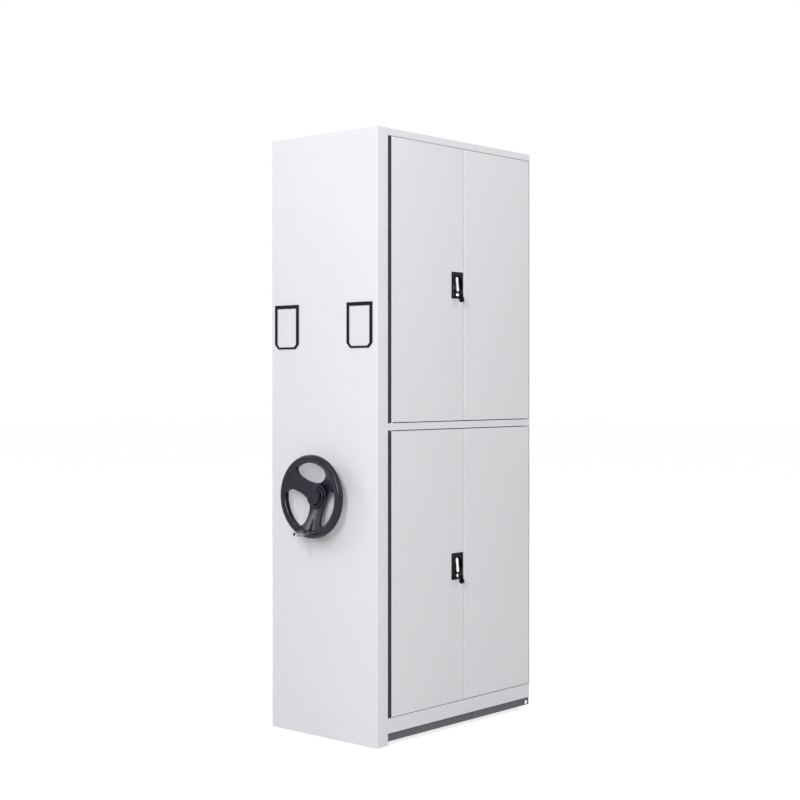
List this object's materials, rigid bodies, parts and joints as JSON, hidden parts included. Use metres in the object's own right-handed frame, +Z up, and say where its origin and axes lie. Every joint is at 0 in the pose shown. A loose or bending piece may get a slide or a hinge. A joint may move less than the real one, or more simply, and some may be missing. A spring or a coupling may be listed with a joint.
{
  "type": "compact mobile shelving bay",
  "caption": "Double-sided mobile filing bay on a wheeled chassis, moved by a handwheel and chain, with lockable doors on one face.",
  "frame": {"origin": "on the running surface, under the middle of the whole bounding box, crank handle and keys included", "axes": "+Z up; +X across the bay towards the doors; -Y along the bay towards the handwheel"},
  "size_m": [0.5954, 1.092, 2.3],
  "materials": {
    "white_paint": "smooth satin powder coat",
    "frame_paint": "satin powder coat on inner steelwork",
    "chassis_paint": "satin dark grey powder coat",
    "handwheel_black": "satin black moulding",
    "grip_metal": "satin grey plating",
    "black_plastic": "fine matt black moulding",
    "bright_chrome": "bright plating",
    "zinc_plate": "bright zinc plating",
    "machined_steel": "turned steel",
    "chain_steel": "oiled chain steel",
    "cast_wheel": "turned cast iron",
    "seal_rubber": "matt extruded rubber",
    "card": "plain white card",
    "clear_window": "clear sheet"
  },
  "bodies": {
    "carriage": {"chassis_sides": "chassis_paint", "chassis_cross_members": "chassis_paint", "bearing_bolts": "zinc_plate", "chassis_bolts": "zinc_plate", "shaft_bearings": "machined_steel", "idler_axles": "zinc_plate", "end_panel": "white_paint", "side_plate": "frame_paint", "hub_bearings": "machined_steel", "drive_chain": "chain_steel", "label_frames": "black_plastic", "label_cards": "card", "label_windows": "clear_window", "uprights": "frame_paint", "top_panel": "white_paint", "top_rail": "white_paint", "middle_rail": "white_paint", "base_rails": "white_paint", "far_end_panel": "white_paint", "divider_panel": "frame_paint", "shelves": "frame_paint", "shelf_brackets": "frame_paint", "hinge_pins": "zinc_plate", "door_catches": "black_plastic", "dust_seals": "seal_rubber"},
    "hand_drive": {"handwheel": "handwheel_black", "hub_cap": "handwheel_black", "handwheel_shaft": "machined_steel", "handwheel_sprocket": "machined_steel", "crank_bolt": "bright_chrome"},
    "crank_handle": {"crank_grip": "grip_metal"},
    "axle_drive": {"drive_shaft": "machined_steel", "shaft_sprocket": "machined_steel", "drive_wheels": "cast_wheel"},
    "idler_near": {"idler_wheel_near": "cast_wheel"},
    "idler_far": {"idler_wheel_far": "cast_wheel"},
    "door_upper_near": {"door_upper_near": "white_paint", "stiffener_upper_near": "frame_paint", "lock_plate_upper": "black_plastic", "rod_guides_upper": "zinc_plate"},
    "door_upper_far": {"door_upper_far": "white_paint", "stiffener_upper_far": "frame_paint"},
    "lever_upper": {"lock_lever_upper": "bright_chrome", "lock_cam_upper": "zinc_plate"},
    "rod_up_upper": {"rod_up_upper": "zinc_plate"},
    "rod_down_upper": {"rod_down_upper": "zinc_plate"},
    "key_upper": {"key_stem_upper": "bright_chrome"},
    "key_bow_upper": {"key_head_upper": "black_plastic"},
    "door_lower_near": {"door_lower_near": "white_paint", "stiffener_lower_near": "frame_paint", "lock_plate_lower": "black_plastic", "rod_guides_lower": "zinc_plate"},
    "door_lower_far": {"door_lower_far": "white_paint", "stiffener_lower_far": "frame_paint"},
    "lever_lower": {"lock_lever_lower": "bright_chrome", "lock_cam_lower": "zinc_plate"},
    "rod_up_lower": {"rod_up_lower": "zinc_plate"},
    "rod_down_lower": {"rod_down_lower": "zinc_plate"},
    "key_lower": {"key_stem_lower": "bright_chrome"},
    "key_bow_lower": {"key_head_lower": "black_plastic"}
  },
  "joints": [
    {"name": "handwheel_turn", "type": "hinge", "parent": "carriage", "child": "hand_drive", "pos_m": [-0.017, -0.394, 0.92212], "axis": [0, -1, 0], "continuous": true, "deforming": ["drive_chain"]},
    {"name": "crank_spin", "type": "hinge", "parent": "hand_drive", "child": "crank_handle", "pos_m": [-0.017, -0.506, 0.78712], "axis": [0, -1, 0], "continuous": true},
    {"name": "axle_turn", "type": "hinge", "parent": "carriage", "child": "axle_drive", "pos_m": [0.155, 0.006, 0.05], "axis": [0, -1, 0], "continuous": true},
    {"name": "idler_near_turn", "type": "hinge", "parent": "carriage", "child": "idler_near", "pos_m": [-0.189, -0.1925, 0.05], "axis": [0, -1, 0], "continuous": true},
    {"name": "idler_far_turn", "type": "hinge", "parent": "carriage", "child": "idler_far", "pos_m": [-0.189, 0.406, 0.05], "axis": [0, -1, 0], "continuous": true},
    {"name": "door_upper_near_swing", "type": "hinge", "parent": "carriage", "child": "door_upper_near", "pos_m": [0.254, -0.3035, 1.7385], "axis": [0, 0, -1], "range_deg": [0, 100]},
    {"name": "door_upper_far_swing", "type": "hinge", "parent": "carriage", "child": "door_upper_far", "pos_m": [0.254, 0.5315, 1.7385], "axis": [0, 0, 1], "range_deg": [0, 100]},
    {"name": "lever_upper_turn", "type": "hinge", "parent": "door_upper_near", "child": "lever_upper", "pos_m": [0.263, 0.0719, 1.7385], "axis": [1, 0, 0], "range_deg": [0, 90]},
    {"name": "rod_up_upper_slide", "type": "slide", "parent": "door_upper_near", "child": "rod_up_upper", "axis": [0, 0, 1], "range_m": [0, 0.0121]},
    {"name": "rod_down_upper_slide", "type": "slide", "parent": "door_upper_near", "child": "rod_down_upper", "axis": [0, 0, -1], "range_m": [0, 0.0121]},
    {"name": "key_upper_turn", "type": "hinge", "parent": "door_upper_near", "child": "key_upper", "pos_m": [0.263, 0.0719, 1.6975], "axis": [1, 0, 0], "range_deg": [0, 90]},
    {"name": "key_upper_fold", "type": "hinge", "parent": "key_upper", "child": "key_bow_upper", "pos_m": [0.285, 0.0719, 1.6975], "axis": [0, -1, 0], "range_deg": [0, 90]},
    {"name": "door_lower_near_swing", "type": "hinge", "parent": "carriage", "child": "door_lower_near", "pos_m": [0.254, -0.3035, 0.6395], "axis": [0, 0, -1], "range_deg": [0, 100]},
    {"name": "door_lower_far_swing", "type": "hinge", "parent": "carriage", "child": "door_lower_far", "pos_m": [0.254, 0.5315, 0.6395], "axis": [0, 0, 1], "range_deg": [0, 100]},
    {"name": "lever_lower_turn", "type": "hinge", "parent": "door_lower_near", "child": "lever_lower", "pos_m": [0.263, 0.0719, 0.6395], "axis": [1, 0, 0], "range_deg": [0, 90]},
    {"name": "rod_up_lower_slide", "type": "slide", "parent": "door_lower_near", "child": "rod_up_lower", "axis": [0, 0, 1], "range_m": [0, 0.0121]},
    {"name": "rod_down_lower_slide", "type": "slide", "parent": "door_lower_near", "child": "rod_down_lower", "axis": [0, 0, -1], "range_m": [0, 0.0121]},
    {"name": "key_lower_turn", "type": "hinge", "parent": "door_lower_near", "child": "key_lower", "pos_m": [0.263, 0.0719, 0.5985], "axis": [1, 0, 0], "range_deg": [0, 90]},
    {"name": "key_lower_fold", "type": "hinge", "parent": "key_lower", "child": "key_bow_lower", "pos_m": [0.285, 0.0719, 0.5985], "axis": [0, -1, 0], "range_deg": [0, 90]}
  ],
  "couplings": [
    {"joint": "axle_turn", "follows": "handwheel_turn", "ratio": 0.64706},
    {"joint": "idler_near_turn", "follows": "handwheel_turn", "ratio": 0.64706},
    {"joint": "idler_far_turn", "follows": "handwheel_turn", "ratio": 0.64706},
    {"joint": "rod_up_upper_slide", "follows": "lever_upper_turn", "m_per_rad": 0.0076394},
    {"joint": "rod_down_upper_slide", "follows": "lever_upper_turn", "m_per_rad": 0.0076394},
    {"joint": "rod_up_lower_slide", "follows": "lever_lower_turn", "m_per_rad": 0.0076394},
    {"joint": "rod_down_lower_slide", "follows": "lever_lower_turn", "m_per_rad": 0.0076394}
  ]
}
